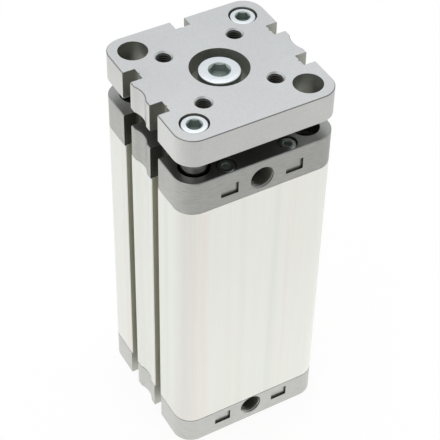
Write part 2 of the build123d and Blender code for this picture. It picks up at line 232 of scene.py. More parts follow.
def open_mesh(piece, mode="VERT", action="DESELECT"):
    """Opens a piece in edit mode, with nothing or all of it selected, and returns its edit mesh."""
    pick_only(piece)
    bpy.ops.object.mode_set(mode="EDIT")
    bpy.ops.mesh.select_mode(type=mode)
    bpy.ops.mesh.select_all(action=action)
    return bmesh.from_edit_mesh(piece.data)


def close_mesh():
    """Leaves edit mode."""
    bpy.ops.object.mode_set(mode="OBJECT")


def ends_of(piece):
    """Lowest and highest point of a piece."""
    heights = [vertex.co.z for vertex in piece.data.vertices]
    return min(heights), max(heights)


def round_box(node):
    """Bottom, top, axis and radius of a node that is round about an upright axis."""
    low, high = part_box(node)
    return low.z, high.z, ((low.x + high.x) / 2, (low.y + high.y) / 2), (high.x - low.x) / 2


def latest(name):
    """Names the piece that was just added."""
    piece = bpy.context.view_layer.objects.active
    piece.name = name
    piece.data.name = name
    return piece


def settle(piece):
    """Puts a piece's place and turn into its mesh, so that its object sits at the origin."""
    pick_only(piece)
    bpy.ops.object.transform_apply(location=True, rotation=True, scale=True)


def soften(piece):
    """Shades a piece smooth, apart from its sharp edges."""
    pick_only(piece)
    bpy.ops.object.shade_smooth_by_angle(angle=SMOOTH_ANGLE)


def bench_copy(node, name):
    """Copy of a node's mesh with its triangles joined up, ready to be worked on."""
    piece = bpy.data.objects.new(name, frame["nodes"][node].data.copy())
    bpy.context.scene.collection.objects.link(piece)
    pick_only(piece)
    bpy.ops.mesh.customdata_custom_splitnormals_clear()
    piece.data.materials.clear()
    open_mesh(piece, action="SELECT")
    bpy.ops.mesh.remove_doubles(threshold=MERGE_DISTANCE)
    close_mesh()
    return piece


def carve(piece, cutter):
    """Cuts one solid away from a piece and removes the cutter."""
    pick_only(piece)
    bpy.ops.object.modifier_add(type="BOOLEAN")
    modifier = piece.modifiers[-1]
    modifier.operation = "DIFFERENCE"
    modifier.solver = "EXACT"
    modifier.material_mode = "TRANSFER"
    modifier.object = cutter
    bpy.ops.object.modifier_apply(modifier=modifier.name)
    bpy.data.objects.remove(cutter)


def box_cutter(low, high, slot):
    """Box from one corner to the other, to carve with."""
    bpy.ops.mesh.primitive_cube_add(size=1, location=[(a + b) / 2 for a, b in zip(low, high)])
    cutter = latest("box cutter")
    cutter.scale = [b - a for a, b in zip(low, high)]
    settle(cutter)
    dress(cutter, slot)
    return cutter


def loop_at(mesh, height, radius, axis):
    """Selects the ring of edges at one height and radius about an upright axis."""
    for edge in mesh.edges:
        ends = [vertex.co for vertex in edge.verts]
        level = all(abs(end.z - height) < MERGE_DISTANCE for end in ends)
        away = all(abs(math.hypot(end.x - axis[0], end.y - axis[1]) - radius) < MERGE_DISTANCE for end in ends)
        edge.select_set(level and away)
    bmesh.update_edit_mesh(bpy.context.object.data)


def turned(name, points, axis=(0, 0), closed=False):
    """Turned piece: a circle extruded and scaled from one (radius, height) point of its profile to the next."""
    steps = bpy.context.scene.cylinder_sizes.round_steps
    radius, height = points[0]
    fill = "NOTHING" if closed else "NGON"
    bpy.ops.mesh.primitive_circle_add(vertices=steps, radius=radius, fill_type=fill, location=(*axis, height))
    piece = latest(name)
    settle(piece)
    mesh = open_mesh(piece, "EDGE")
    loop_at(mesh, height, radius, axis)
    for next_radius, next_height in points[1:]:
        grow = next_radius / radius
        bpy.ops.mesh.extrude_edges_move()
        bpy.ops.transform.translate(value=(0, 0, next_height - height))
        bpy.ops.transform.resize(value=(grow, grow, 1), center_override=(*axis, next_height))
        radius, height = next_radius, next_height
    if not closed:
        bpy.ops.mesh.edge_face_add()
    bpy.ops.mesh.select_all(action="SELECT")
    if closed:
        bpy.ops.mesh.remove_doubles(threshold=MERGE_DISTANCE)
    bpy.ops.mesh.normals_make_consistent(inside=False)
    close_mesh()
    return piece


def rounded_corner(centre_radius, centre_height, radius):
    """Points of a quarter round that goes from the side of a head over to its top."""
    count = 5
    turns = [math.pi / 2 * step / count for step in range(count + 1)]
    return [(centre_radius + radius * math.cos(turn), centre_height + radius * math.sin(turn)) for turn in turns]


def tap(core, pitch, start, end, slot="thread"):
    """Cutter in the form of a tap along the upright axis, for threads cut into a hole."""
    low_radius = core - bpy.context.scene.cylinder_sizes.thread_lap
    high_radius = core + THREAD_REACH * pitch
    profile = [
        (low_radius, 0), (high_radius, CREST_START * pitch), (high_radius, CREST_END * pitch), (low_radius, pitch),
    ]
    bpy.ops.mesh.primitive_circle_add(vertices=len(profile), radius=core, fill_type="NOTHING")
    cutter = latest("tap")
    mesh = open_mesh(cutter, "EDGE")
    mesh.verts.ensure_lookup_table()
    for vertex, (radius, height) in zip(mesh.verts, profile):
        vertex.co = (radius, 0, start - pitch + height)
    closing = next(edge for edge in mesh.edges if {0, len(profile) - 1} == {v.index for v in edge.verts})
    closing.select_set(True)
    bmesh.update_edit_mesh(cutter.data)
    bpy.ops.mesh.delete(type="EDGE")
    close_mesh()
    bpy.ops.object.modifier_add(type="SCREW")
    screw = cutter.modifiers[-1]
    screw.axis = "Z"
    screw.steps = screw.render_steps = THREAD_STEPS
    screw.screw_offset = pitch
    screw.iterations = math.ceil((end - start) / pitch) + 2
    screw.use_merge_vertices = True
    screw.merge_threshold = MERGE_DISTANCE
    bpy.ops.object.modifier_apply(modifier=screw.name)
    open_mesh(cutter, action="SELECT")
    bpy.ops.mesh.remove_doubles(threshold=MERGE_DISTANCE)
    for height, side in ((start, -1), (end, 1)):
        bpy.ops.mesh.select_all(action="SELECT")
        bpy.ops.mesh.bisect(
            plane_co=(0, 0, height), plane_no=(0, 0, side), use_fill=True, clear_outer=True,
            threshold=MERGE_DISTANCE,
        )
    bpy.ops.mesh.select_all(action="SELECT")
    bpy.ops.mesh.normals_make_consistent(inside=False)
    close_mesh()
    # The cut thread takes the dark thread finish unless told otherwise, painted shade in the hole
    dress(cutter, slot)
    return cutter


def facing(place, outwards):
    """Matrix that takes the origin to a place and +Z to a direction."""
    return Matrix.Translation(Vector(place)) @ Vector(outwards).to_track_quat("Z", "Y").to_matrix().to_4x4()


def hole_places(mount):
    """Places of a mount's holes."""
    middle = Vector(mount["pos_m"])
    dims = mount["dims"]
    if "spacing_x_mm" not in dims:
        return [middle]
    half_x, half_y = dims["spacing_x_mm"] * MM / 2, dims["spacing_y_mm"] * MM / 2
    return [middle + Vector((x, y, 0)) for x in (-half_x, half_x) for y in (-half_y, half_y)]


def cut_threads(piece, name, pitch, depth=None, slot="thread"):
    """Cuts a mount's threads into a piece, inwards from the mount."""
    mount = mounts[name]
    dims = mount["dims"]
    radius = dims.get("r_mm", dims.get("hole_r_mm")) * MM
    depth = depth or dims["length_mm"] * MM
    for place in hole_places(mount):
        cutter = tap(radius, pitch, -depth, pitch, slot)
        cutter.matrix_world = facing(place, mount["axis"])
        carve(piece, cutter)


# Surface effects that several finishes share


def add_node(tree, kind, **inputs):
    """Adds a node and sets its inputs by name, with spaces written as underscores."""
    made = tree.nodes.new(kind)
    for key, value in inputs.items():
        made.inputs[key.replace("_", " ")].default_value = value
    return made


def feed(tree, socket, value):
    """Links another node's output to a socket, or sets the socket to a plain value."""
    if isinstance(value, bpy.types.NodeSocket):
        tree.links.new(value, socket)
    else:
        socket.default_value = value


def maths(tree, operation, first, second):
    """Maths node on two values, each a number or another node's output."""
    made = tree.nodes.new("ShaderNodeMath")
    made.operation = operation
    for socket, value in zip(made.inputs, (first, second)):
        feed(tree, socket, value)
    return made.outputs[0]


def smooth_range(tree, value, start, end, low=0.0, high=1.0):
    """Smooth step from low to high, while a value goes from start to end."""
    made = add_node(tree, "ShaderNodeMapRange", From_Min=start, From_Max=end, To_Min=low, To_Max=high)
    made.interpolation_type = "SMOOTHSTEP"
    tree.links.new(value, made.inputs["Value"])
    return made.outputs[0]


def blend(tree, kind, factor, first, second):
    """Mix node on two numbers or colours, each a plain value or another node's output."""
    made = tree.nodes.new("ShaderNodeMix")
    made.data_type = kind
    first_place, second_place, result_place = {"FLOAT": (2, 3, 0), "RGBA": (6, 7, 2)}[kind]
    tree.links.new(factor, made.inputs[0])
    feed(tree, made.inputs[first_place], first)
    feed(tree, made.inputs[second_place], second)
    return made.outputs[result_place]


def start_group(name, inputs, outputs):
    """Node group with named inputs, each with its default, and named outputs."""
    tree = bpy.data.node_groups.new(name, "ShaderNodeTree")
    for socket_name, kind, default in inputs:
        socket = tree.interface.new_socket(socket_name, in_out="INPUT", socket_type="NodeSocket" + kind)
        socket.default_value = default
    for socket_name, kind in outputs:
        tree.interface.new_socket(socket_name, in_out="OUTPUT", socket_type="NodeSocket" + kind)
    entry = tree.nodes.new("NodeGroupInput")
    leave = tree.nodes.new("NodeGroupOutput")
    return tree, entry.outputs, leave.inputs


def stretched_noise(tree, stretch, scale, detail):
    """Noise over the piece, stretched by a vector, as a value from 0 to 1."""
    place = tree.nodes.new("ShaderNodeTexCoord")
    mapping = tree.nodes.new("ShaderNodeVectorMath")
    mapping.operation = "MULTIPLY"
    noise = add_node(tree, "ShaderNodeTexNoise", Detail=detail, Roughness=0.55)
    tree.links.new(place.outputs["Object"], mapping.inputs[0])
    tree.links.new(stretch, mapping.inputs[1])
    tree.links.new(mapping.outputs[0], noise.inputs["Vector"])
    tree.links.new(scale, noise.inputs["Scale"])
    return noise.outputs["Fac"]


def grain_group(name):
    """Fine grain, even in all directions or stretched into lines."""
    tree, given, out = start_group(
        name,
        [("Stretch", "Vector", (1, 1, 1)), ("Scale", "Float", 3000), ("Contrast", "Float", 1.0)],
        [("Value", "Float")],
    )
    noise = stretched_noise(tree, given["Stretch"], given["Scale"], 3)
    centred = maths(tree, "SUBTRACT", noise, 0.5)
    spread = maths(tree, "MULTIPLY", centred, given["Contrast"])
    tree.links.new(maths(tree, "ADD", spread, 0.5), out["Value"])
    return tree


def tint_group(name):
    """Colour that drifts between a main tone and two others, in bands along a direction."""
    tree, given, out = start_group(
        name,
        [
            *((tone, "Color", (0.8, 0.8, 0.8, 1)) for tone in ("Colour", "Warm", "Cool")),
            ("Stretch", "Vector", (1, 1, 1)),
            ("Scale", "Float", 60),
        ],
        [("Colour", "Color")],
    )
    noise = stretched_noise(tree, given["Stretch"], given["Scale"], 6)
    current = given["Colour"]
    for tone, start, end in (("Warm", 0.52, 0.68), ("Cool", 0.48, 0.32)):
        current = blend(tree, "RGBA", smooth_range(tree, noise, start, end), current, given[tone])
    tree.links.new(current, out["Colour"])
    return tree


def wear_group(name):
    """Marks of handling: soft clouds and a few fine scratches, as a value round zero."""
    tree, given, out = start_group(
        name, [("Scale", "Float", 90), ("Amount", "Float", 0.5)], [("Value", "Float")]
    )
    even = add_node(tree, "ShaderNodeCombineXYZ", X=1.0, Y=1.0, Z=1.0)
    slanted = add_node(tree, "ShaderNodeCombineXYZ", X=6.0, Y=0.6, Z=2.0)
    scratch_strength = 0.35
    clouds = stretched_noise(tree, even.outputs[0], given["Scale"], 4)
    scratches = stretched_noise(tree, slanted.outputs[0], given["Scale"], 6)
    sharp = add_node(tree, "ShaderNodeMapRange", From_Min=0.62, From_Max=0.7)
    tree.links.new(scratches, sharp.inputs["Value"])
    lighter = maths(tree, "MULTIPLY", sharp.outputs[0], scratch_strength)
    both = maths(tree, "ADD", clouds, lighter)
    centred = maths(tree, "SUBTRACT", both, 0.5)
    tree.links.new(maths(tree, "MULTIPLY", centred, given["Amount"]), out["Value"])
    return tree


GROUPS = {"surface_grain": grain_group, "tone_drift": tint_group, "handling_marks": wear_group}


def place_group(tree, name, **inputs):
    """Places a shared effect in a material with its own values; its group is built the first time."""
    made = tree.nodes.new("ShaderNodeGroup")
    made.node_tree = bpy.data.node_groups.get(name) or GROUPS[name](name)
    for key, value in inputs.items():
        made.inputs[key].default_value = value
    return made


# Finishes


# Scale of the grain along x, y and z: long upright lines, long level lines and short level lines
TALL, FLAT, LINED = (1, 1, 0.012), (0.02, 0.02, 1), (0.12, 0.12, 1)
FINISHES = {
    "tube": ("tube_pearl_anodised", 0.3, 0.42,
             dict(grain=2200, stretch=TALL, relief=0.01, drift=95, drift_stretch=TALL, speckle=0.08)),
    # Painted shade on the walls of the tube's slots
    "tube_walls": ("tube_slot_walls", 0.5, 0.42, dict(grain=2200, stretch=TALL, relief=0.01)),
    "cap": ("cap_matt_anodised", 0.97, 0.34, dict(grain=2600, stretch=LINED, relief=0.014, speckle=0.6)),
    # Paler copy of the cap finish for the rear cap: painted light from the floor
    "cap_rear": ("cap_rear_matt_anodised", 0.97, 0.34, dict(grain=2600, stretch=LINED, relief=0.014, speckle=0.45)),
    # Painted shade on the front cap's end, under the guide plate
    "cap_end": ("cap_end_milled", 0.97, 0.34, dict(grain=2600, relief=0.014, speckle=0.6)),
    # Painted shade on the walls in the caps' slots and holes
    "cap_walls": ("cap_milled_walls", 0.85, 0.5, dict(grain=2400, stretch=LINED, relief=0.01, speckle=0.5)),
    # Painted light from the floor on the walls of the rear cap's slots
    "cap_rear_walls": ("cap_rear_milled_walls", 0.85, 0.5, dict(grain=2400, stretch=LINED, relief=0.01, speckle=0.4)),
    # Painted shade in the seam at the rear cap and on the walls of the sunken windows
    "joint": ("joint_shaded", 0.6, 0.5, dict(grain=2600)),
    "plate": ("plate_satin_anodised", 0.88, 0.3, dict(grain=1900, relief=0.006, drift=35, speckle=0.26)),
    # Painted shade on the walls in the plate's slots and holes
    "plate_walls": ("plate_milled_walls", 0.85, 0.42, dict(grain=2400, stretch=LINED, relief=0.01, speckle=0.5)),
    # Painted shade on the guide plate's underside
    "plate_under": ("plate_underside_milled", 0.9, 0.36, dict(grain=1900, relief=0.01, speckle=0.4)),
    # Painted shade line on the guide plate's rim chamfers
    "plate_rim": ("plate_rim_burnished", 0.9, 0.4, dict(grain=2800)),
    # Painted shade on the cut threads in the holes
    "thread": ("thread_oiled", 1.0, 0.3, dict(grain=2600, marks=0.1)),
    "screw": ("screw_bright_zinc", 1.0, 0.22, dict(grain=2500, marks=0.1)),
    # Painted shade in the screw sockets
    "socket": ("screw_socket_pressed", 0.75, 0.42, dict(grain=2600, marks=0.1)),
    "rod": ("rod_hard_chrome", 1.0, 0.09, dict(grain=5000, stretch=FLAT, relief=0.0006, marks=0.04)),
    "guide_rod": ("guide_rod_ground_steel", 1.0, 0.2, dict(grain=5000, stretch=FLAT, relief=0.001)),
    "bush": ("bush_sintered_bronze", 0.9, 0.5, dict(grain=2200, relief=0.02)),
    "piston": ("piston_turned_aluminium", 1.0, 0.3, dict(stretch=FLAT, relief=0.006)),
    "seal": ("seal_nitrile", 0.0, 0.55, dict(grain=1800, relief=0.01)),
    "wiper": ("wiper_polyurethane", 0.0, 0.38, dict(grain=1500, relief=0.006)),
    "guide_ring": ("guide_band_filled_plastic", 0.0, 0.5, dict(grain=2400, relief=0.012)),
    "magnet": ("magnet_sintered", 0.3, 0.6, dict(grain=2600, relief=0.02)),
}
# How much brighter and darker a tone without tones of its own drifts
BRIGHTER, DARKER = 1.03, 0.96


def finish(name, tone, metallic, roughness, tones=None, grain=3000, stretch=(1, 1, 1), relief=0.004, marks=0.12,
           drift=60, drift_stretch=(1, 1, 1), speckle=0.1):
    """Material with a drifting tone, a fine grain in its tone and relief and marks of handling in its gloss."""
    material = bpy.data.materials.new(name)
    material.use_nodes = True
    tree = material.node_tree
    surface = tree.nodes["Principled BSDF"]
    surface.inputs["Metallic"].default_value = metallic
    warm, cool = tones or ([value * BRIGHTER for value in tone], [value * DARKER for value in tone])
    tint = place_group(
        tree, "tone_drift", Colour=(*tone, 1), Warm=(*warm, 1), Cool=(*cool, 1), Stretch=drift_stretch, Scale=drift
    )
    fine = place_group(tree, "surface_grain", Stretch=stretch, Scale=grain)
    wear = place_group(tree, "handling_marks", Amount=marks)
    bump = add_node(tree, "ShaderNodeBump", Strength=1.0, Distance=relief * MM)
    centred = maths(tree, "SUBTRACT", fine.outputs["Value"], 0.5)
    shade = maths(tree, "ADD", maths(tree, "MULTIPLY", centred, speckle), 1.0)
    speckled = tree.nodes.new("ShaderNodeVectorMath")
    speckled.operation = "SCALE"
    tree.links.new(tint.outputs["Colour"], speckled.inputs[0])
    tree.links.new(shade, speckled.inputs["Scale"])
    tree.links.new(speckled.outputs[0], surface.inputs["Base Color"])
    tree.links.new(fine.outputs["Value"], bump.inputs["Height"])
    tree.links.new(bump.outputs["Normal"], surface.inputs["Normal"])
    tree.links.new(maths(tree, "ADD", wear.outputs["Value"], roughness), surface.inputs["Roughness"])
    material.diffuse_color = (*tone, 1)
    return material


def slot_finish(slot):
    """The finish of a material slot, made the first time that it is asked for."""
    colours = bpy.context.scene.cylinder_colours
    name, metallic, roughness, details = FINISHES[slot]
    if name in bpy.data.materials:
        return bpy.data.materials[name]
    tones = (colours.tube_warm, colours.tube_cool) if slot == "tube" else None
    return finish(name, getattr(colours, slot), metallic, roughness, tones, **details)


def dress(piece, slot):
    """Gives a piece the finish of a slot, whatever materials it had."""
    piece.data.materials.clear()
    piece.data.materials.append(slot_finish(slot))


def depth_inside(point):
    """How deep a point lies under the outer faces of the section."""
    half, corner = cad_high.x, bpy.context.scene.cylinder_sizes.section_corner
    x, y = (max(abs(value) - (half - corner), 0) for value in point[:2])
    straight = half - max(abs(point[0]), abs(point[1]))
    return min(straight, corner - math.hypot(x, y)) if x and y else straight


def dress_faces(piece, slot, chosen):
    """Gives the faces that pass a test their own finish."""
    piece.data.materials.append(slot_finish(slot))
    index = len(piece.data.materials) - 1
    for face in piece.data.polygons:
        if chosen(face):
            face.material_index = index


def dress_walls(piece, slot):
    """Gives the walls and floors that lie deep inside a piece their own, darker finish, as painted shade."""
    sizes = bpy.context.scene.cylinder_sizes
    low, high = ends_of(piece)

    def is_wall(face):
        sunk = min(face.center.z - low, high - face.center.z) > sizes.face_skin
        outwards = face.normal.x if abs(face.center.x) > abs(face.center.y) else face.normal.y
        start = sizes.mouth_depth if abs(outwards) < UPRIGHT else sizes.wall_depth
        return depth_inside(face.center) > start and (sunk or abs(face.normal.z) < UPRIGHT)

    dress_faces(piece, slot, is_wall)


def in_slot(point):
    """Whether a point lies in one of the sensor slots, seen from above."""
    sizes = bpy.context.scene.cylinder_sizes
    half_width, reach = sizes.slot_width / 2 + MERGE_DISTANCE, sizes.slot_floor + sizes.notch_depth
    for mount in slot_mounts:
        near, far = sorted(abs(a - b) for a, b in zip(point[:2], mount["pos_m"]))
        if near <= half_width and far <= reach:
            return True
    return False


def dress_slots(piece, slot):
    """Gives the sensor slots their own finish, out of the walls that were dressed last; for the rear cap a paler one,
    as painted light.
    """
    walls = len(piece.data.materials) - 1
    dress_faces(piece, slot, lambda face: face.material_index == walls and in_slot(face.center))


def dress_rims(piece, slot, level):
    """Gives the chamfers round the outer rim at one height their own, darker finish, as a painted shade line."""
    sizes = bpy.context.scene.cylinder_sizes

    def is_rim(face):
        outside = depth_inside(face.center) < sizes.rim_depth and abs(face.center.z - level) < sizes.rim_reach
        return outside and UPRIGHT < abs(face.normal.z) < LEVEL

    dress_faces(piece, slot, is_rim)


def dress_end(piece, slot, level):
    """Gives the level faces at one end of a piece their own, darker finish, as painted shade in the gap between the
    front cap and the guide plate.
    """
    dress_faces(
        piece, slot, lambda face: abs(face.center.z - level) < MERGE_DISTANCE and abs(face.normal.z) > LEVEL
    )


def hand_over(piece, slot, body, *nodes):
    """Sets a new piece on its body and lets it stand for its nodes, with the slot's finish unless it has one."""
    soften(piece)
    if not piece.data.materials:
        dress(piece, slot)
    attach(piece, body)
    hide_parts(*nodes)


# Pieces


def socket_screw(name, kind, head_radius, bottom, top, axis=(0, 0)):
    """Socket head screw of one kind, with a rounded head, its hexagon and a drilled socket floor."""
    sizes = bpy.context.scene.cylinder_sizes
    height, shank, flats = (getattr(sizes, f"{kind}_{key}") for key in ("height", "shank", "socket"))
    seat = top - height
    shank_radius, edge, tip = shank / 2, sizes.head_edge, 0.5 * MM
    under_edge = tip / 4
    points = [(shank_radius - tip, bottom), (shank_radius, bottom + tip), (shank_radius, seat)]
    points += [(head_radius - under_edge, seat), (head_radius, seat + under_edge)]
    points += rounded_corner(head_radius - edge, top - edge, edge)
    screw = turned(name, points, axis)
    dress(screw, "screw")
    deep = height * SOCKET_DEPTH
    corner = flats / math.sqrt(3)
    bpy.ops.mesh.primitive_cylinder_add(vertices=6, radius=corner, depth=2 * deep, location=(*axis, top))
    hexagon = latest("hexagon")
    settle(hexagon)
    mesh = open_mesh(hexagon, "FACE")
    floor = min(mesh.faces, key=lambda face: face.calc_center_median().z)
    floor.select_set(True)
    bpy.ops.mesh.inset(thickness=corner * DRILL_INSET)
    bpy.ops.mesh.extrude_region_move(TRANSFORM_OT_translate={"value": (0, 0, -corner * DRILL_DEPTH)})
    bpy.ops.transform.resize(value=(DRILL_TIP, DRILL_TIP, 1), center_override=(*axis, top - deep))
    close_mesh()
    # The hexagon and, below, its funnel take the darker socket finish, painted shade in the socket
    dress(hexagon, "socket")
    carve(screw, hexagon)
    lead = corner * FUNNEL_DEPTH
    above = 0.001 * MM
    bpy.ops.mesh.primitive_cone_add(
        vertices=sizes.round_steps, radius1=corner * FUNNEL_LOW, radius2=corner * FUNNEL_HIGH, depth=lead,
        location=(*axis, top - lead / 2 + above),
    )
    funnel = latest("funnel")
    settle(funnel)
    dress(funnel, "socket")
    carve(screw, funnel)
    return screw


def copies_at(screw, places, start, flip_height=None):
    """Copies a screw from its start to more places and joins them all; a flip height turns them over there."""
    group = []
    for place in places:
        twin = screw.copy()
        twin.data = screw.data.copy()
        bpy.context.scene.collection.objects.link(twin)
        twin.location = (place[0] - start[0], place[1] - start[1], 0)
        group.append(twin)
    joined = group[0]
    pick_only(joined)
    for twin in group:
        twin.select_set(True)
    bpy.ops.object.join()
    bpy.data.objects.remove(screw)
    settle(joined)
    if flip_height is not None:
        open_mesh(joined, action="SELECT")
        bpy.ops.transform.mirror(constraint_axis=(False, False, True), center_override=(0, 0, flip_height))
        bpy.ops.mesh.normals_make_consistent(inside=False)
        close_mesh()
    return joined


def notch_slots(piece, slot):
    """Cuts the pointed notch along the floor of each sensor slot."""
    sizes = bpy.context.scene.cylinder_sizes
    low, high = ends_of(piece)
    low, high = low - CUT_PAST, high + CUT_PAST
    deep, wide = sizes.notch_depth, sizes.notch_width / 2
    for mount in slot_mounts:
        x, y = mount["pos_m"][:2]
        along_x = abs(abs(x) - cad_high.x) < MERGE_DISTANCE
        outwards = Vector((math.copysign(1, x), 0, 0)) if along_x else Vector((0, 1, 0))
        floor = Vector((x, y, 0)) - outwards * sizes.slot_floor
        bpy.ops.mesh.primitive_cylinder_add(vertices=4, radius=1, depth=high - low)
        cutter = latest("notch cutter")
        cutter.scale = (deep, wide, 1) if along_x else (wide, deep, 1)
        cutter.location = (floor.x, floor.y, (low + high) / 2)
        settle(cutter)
        dress(cutter, slot)
        carve(piece, cutter)


def open_mouth(cap, port, slot):
    """Chamfers the mouth of an air port."""
    sizes = bpy.context.scene.cylinder_sizes
    mount = mounts[port]
    radius, width, lap = mount["dims"]["r_mm"] * MM, sizes.port_chamfer, sizes.thread_lap
    bpy.ops.mesh.primitive_cone_add(
        vertices=sizes.round_steps, radius1=radius - lap, radius2=radius + width + lap, depth=width + 2 * lap,
        location=(0, 0, -width / 2),
    )
    cutter = latest("mouth cutter")
    settle(cutter)
    dress(cutter, slot)
    cutter.matrix_world = facing(mount["pos_m"], mount["axis"])
    carve(cap, cutter)


def sink_windows(cap, port, slot):
    """Sinks a bare window on each side of an air port, with its side walls in painted shade."""
    sizes = bpy.context.scene.cylinder_sizes
    x, _, z = mounts[port]["pos_m"]
    outside = cad_low.y
    half_width, half_height = sizes.window_width / 2, sizes.window_height / 2
    for side in (-1, 1):
        middle = x + side * sizes.window_offset
        low = (middle - half_width, outside - CUT_PAST, z - half_height)
        high = (middle + half_width, outside + sizes.window_depth, z + half_height)
        cutter = box_cutter(low, high, slot)
        # The window's side walls take a dark finish, painted shade
        cutter.data.materials.append(slot_finish("joint"))
        for face in cutter.data.polygons:
            face.material_index = int(abs(face.normal.y) < UPRIGHT)
        carve(cap, cutter)


class CYLINDER_OT_tube(bpy.types.Operator):
    """Finish the extruded tube"""

    bl_idname = "cylinder.tube"
    bl_label = "Tube"

    def execute(self, context):
        tube = bench_copy("barrel_tube", "tube_anodised")
        dress(tube, "tube")
        # Walls deep in the slots, and the notches along their floors, take a darker finish that is painted shade
        dress_walls(tube, "tube_walls")
        notch_slots(tube, "tube_walls")
        hand_over(tube, "tube", STILL, "barrel_tube")
        return {"FINISHED"}


class CYLINDER_OT_caps(bpy.types.Operator):
    """Finish both caps, with the threads of their ports and corner holes"""

    bl_idname = "cylinder.caps"
    bl_label = "Caps"

    def execute(self, context):
        sizes = context.scene.cylinder_sizes
        front = bench_copy("front_cap", "front_cap_anodised")
        rear = bench_copy("rear_cap", "rear_cap_anodised")
        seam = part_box("barrel_tube")[0].z
        # The rear cap takes a paler finish than the front cap, painted light for the floor's light
        for cap, port, slot, slot_walls in (
            (front, "front_port", "cap", "cap_walls"),
            (rear, "rear_port", "cap_rear", "cap_rear_walls"),
        ):
            dress(cap, slot)
            # Walls deep in the slots and holes take a darker finish, painted shade
            dress_walls(cap, "cap_walls")
            if cap is rear:
                # The rear cap's slots take a paler finish, painted light from the floor
                dress_slots(cap, slot_walls)
                # The chamfers at the seam take a dark finish, a painted shade line
                dress_rims(cap, "joint", seam)
            else:
                # The front cap's end face takes a darker finish, painted shade under the guide plate
                dress_end(cap, "cap_end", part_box("front_cap")[1].z)
            notch_slots(cap, slot_walls)
            sink_windows(cap, port, slot)
            # The port threads take the darker wall finish, painted shade in the port
            cut_threads(cap, port, sizes.port_pitch, slot="cap_walls")
            open_mouth(cap, port, slot)
        for name in ("front_corner_left", "front_corner_right"):
            length_down = mounts[name]["dims"]["length_mm"] * MM
            cutter = tap(mounts[name]["dims"]["r_mm"] * MM, sizes.corner_pitch, -length_down, 0)
            cutter.location = Vector(mounts[name]["pos_m"]) + Vector((0, 0, length_down / 2))
            carve(front, cutter)
        hand_over(front, "cap", STILL, "front_cap")
        cut_threads(rear, "rear_screws", sizes.corner_pitch, seam)
        hand_over(rear, "cap", STILL, "rear_cap")
        return {"FINISHED"}


class CYLINDER_OT_plate(bpy.types.Operator):
    """Finish the guide plate, with its four tapped holes"""

    bl_idname = "cylinder.plate"
    bl_label = "Guide plate"

    def execute(self, context):
        sizes = context.scene.cylinder_sizes
        low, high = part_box("guide_plate")
        plate = bench_copy("guide_plate", "guide_plate_anodised")
        dress(plate, "plate")
        # Walls deep in the plate's slots and holes, and its notches, take a darker finish, painted shade
        dress_walls(plate, "plate_walls")
        # The top rim's chamfers take a darker finish, a painted shade line
        dress_rims(plate, "plate_rim", high.z)
        # The plate's underside takes a darker finish, painted shade in the gap above the front cap
        dress_end(plate, "plate_under", low.z)
        notch_slots(plate, "plate_walls")
        cut_threads(plate, "plate_screws", sizes.plate_pitch, high.z - low.z)
        hand_over(plate, "plate", MOVING, "guide_plate")
        return {"FINISHED"}


class CYLINDER_OT_screws(bpy.types.Operator):
    """Model the screws of the caps, the guide rods and the piston rod"""

    bl_idname = "cylinder.screws"
    bl_label = "Screws"

    def execute(self, context):
        sizes = context.scene.cylinder_sizes
        two_corners = ((-1, -1), (1, 1))
        four_corners = ((-1, -1), (-1, 1), (1, -1), (1, 1))
        for node, body, kind, corners, upwards in (
            ("front_cap_screws", STILL, "cap_screw", four_corners, True),
            ("rear_cap_screws", STILL, "cap_screw", four_corners, False),
            ("guide_rod_screws", MOVING, "guide_screw", two_corners, True),
        ):
            low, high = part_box(node)
            head = getattr(sizes, kind + "_head") / 2
            x, y = high.x - head, high.y - head
            screw = socket_screw(node + "_zinc", kind, head, low.z, high.z, (x, y))
            places = [(sign_x * x, sign_y * y) for sign_x, sign_y in corners]
            group = copies_at(screw, places, (x, y), None if upwards else (low.z + high.z) / 2)
            group.name = node + "_zinc"
            hand_over(group, "screw", body, node)
        low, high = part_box("plate_centre_screw")
        screw = socket_screw("plate_centre_screw_zinc", "centre_screw", high.x, low.z, high.z)
        hand_over(screw, "screw", MOVING, "plate_centre_screw")
        return {"FINISHED"}


class CYLINDER_OT_rods(bpy.types.Operator):
    """Model the piston rod and both guide rods"""

    bl_idname = "cylinder.rods"
    bl_label = "Rods"

    def execute(self, context):
        edge = context.scene.cylinder_sizes.rod_edge
        for node, slot, look in (
            ("piston_rod", "rod", "chromed"),
            ("guide_rod_near", "guide_rod", "ground"),
            ("guide_rod_far", "guide_rod", "ground"),
        ):
            bottom, top, axis, radius = round_box(node)
            points = [(radius - edge, bottom), (radius, bottom + edge), (radius, top - edge), (radius - edge, top)]
            rod = turned(f"{node}_{look}", points, axis)
            hand_over(rod, slot, MOVING, node)
        return {"FINISHED"}


